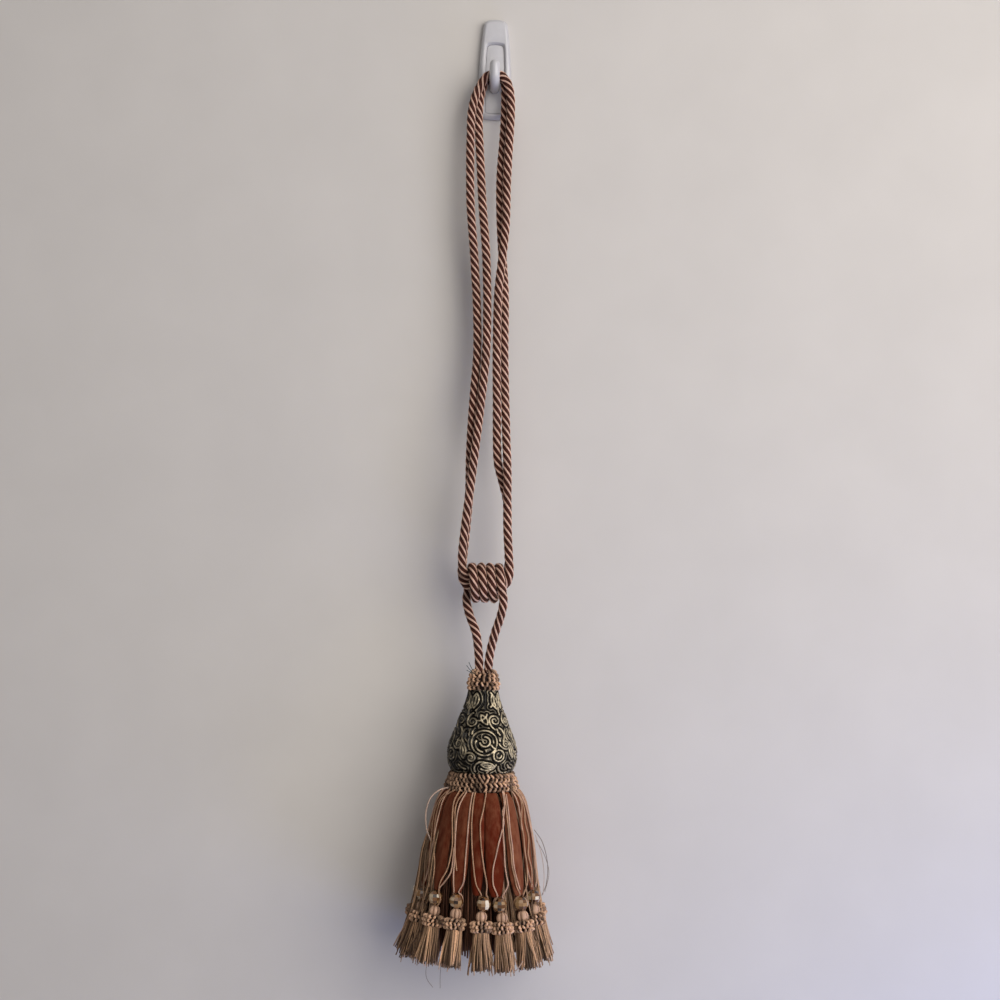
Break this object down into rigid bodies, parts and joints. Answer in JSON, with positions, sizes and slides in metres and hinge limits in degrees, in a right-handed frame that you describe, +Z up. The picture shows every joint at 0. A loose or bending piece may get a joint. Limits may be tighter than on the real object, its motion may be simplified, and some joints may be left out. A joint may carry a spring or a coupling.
{
  "type": "curtain tieback tassel on wall hook",
  "caption": "Curtain tieback: a large tassel with a carved head, velvet skirt, beads and small tassels on a twisted rope loop, hung on a plain adhesive wall hook.",
  "frame": {"origin": "centre of the back face of the hook's wall plate", "axes": "+Z up, the wall is the plane Y = 0 and the front of the tassel faces -Y, +X to the viewer's right"},
  "size_m": [0.1448, 0.1387, 0.9044],
  "materials": {
    "hook_plastic": "moulded white, satin",
    "rope": "twisted satin cord, rose beige over dark maroon",
    "head_resin": "dark antiqued cast resin, relief rubbed with pewter",
    "knot_yarn": "knotted rose beige rayon yarn",
    "velvet": "rust brown velvet",
    "bead_glass": "faceted champagne crystal",
    "fringe_yarn": "tan rayon yarn, slight sheen"
  },
  "bodies": {
    "root": {"hook_plate": "hook_plastic", "hook_body": "hook_plastic", "loop_rope": "rope", "neck_cord": "rope", "head": "head_resin", "top_ruff": "knot_yarn", "collar": "knot_yarn", "under_skirt": "fringe_yarn", "petal_01": "velvet", "petal_02": "velvet", "petal_03": "velvet", "petal_04": "velvet", "petal_05": "velvet", "petal_06": "velvet", "petal_07": "velvet", "petal_08": "velvet", "petal_09": "velvet", "petal_10": "velvet", "petal_11": "velvet", "petal_12": "velvet", "petal_13": "velvet", "petal_14": "velvet", "petal_15": "velvet", "petal_16": "velvet", "bead_01": "bead_glass", "bead_02": "bead_glass", "bead_03": "bead_glass", "bead_04": "bead_glass", "bead_05": "bead_glass", "bead_06": "bead_glass", "bead_07": "bead_glass", "bead_08": "bead_glass", "bead_09": "bead_glass", "bead_10": "bead_glass", "bead_11": "bead_glass", "bead_12": "bead_glass", "bead_13": "bead_glass", "bead_14": "bead_glass", "bead_15": "bead_glass", "bead_16": "bead_glass", "mini_tassel_01": "fringe_yarn", "mini_tassel_02": "fringe_yarn", "mini_tassel_03": "fringe_yarn", "mini_tassel_04": "fringe_yarn", "mini_tassel_05": "fringe_yarn", "mini_tassel_06": "fringe_yarn", "mini_tassel_07": "fringe_yarn", "mini_tassel_08": "fringe_yarn", "mini_tassel_09": "fringe_yarn", "mini_tassel_10": "fringe_yarn", "mini_tassel_11": "fringe_yarn", "mini_tassel_12": "fringe_yarn", "mini_tassel_13": "fringe_yarn", "mini_tassel_14": "fringe_yarn", "mini_tassel_15": "fringe_yarn", "mini_tassel_16": "fringe_yarn"}
  },
  "joints": []
}
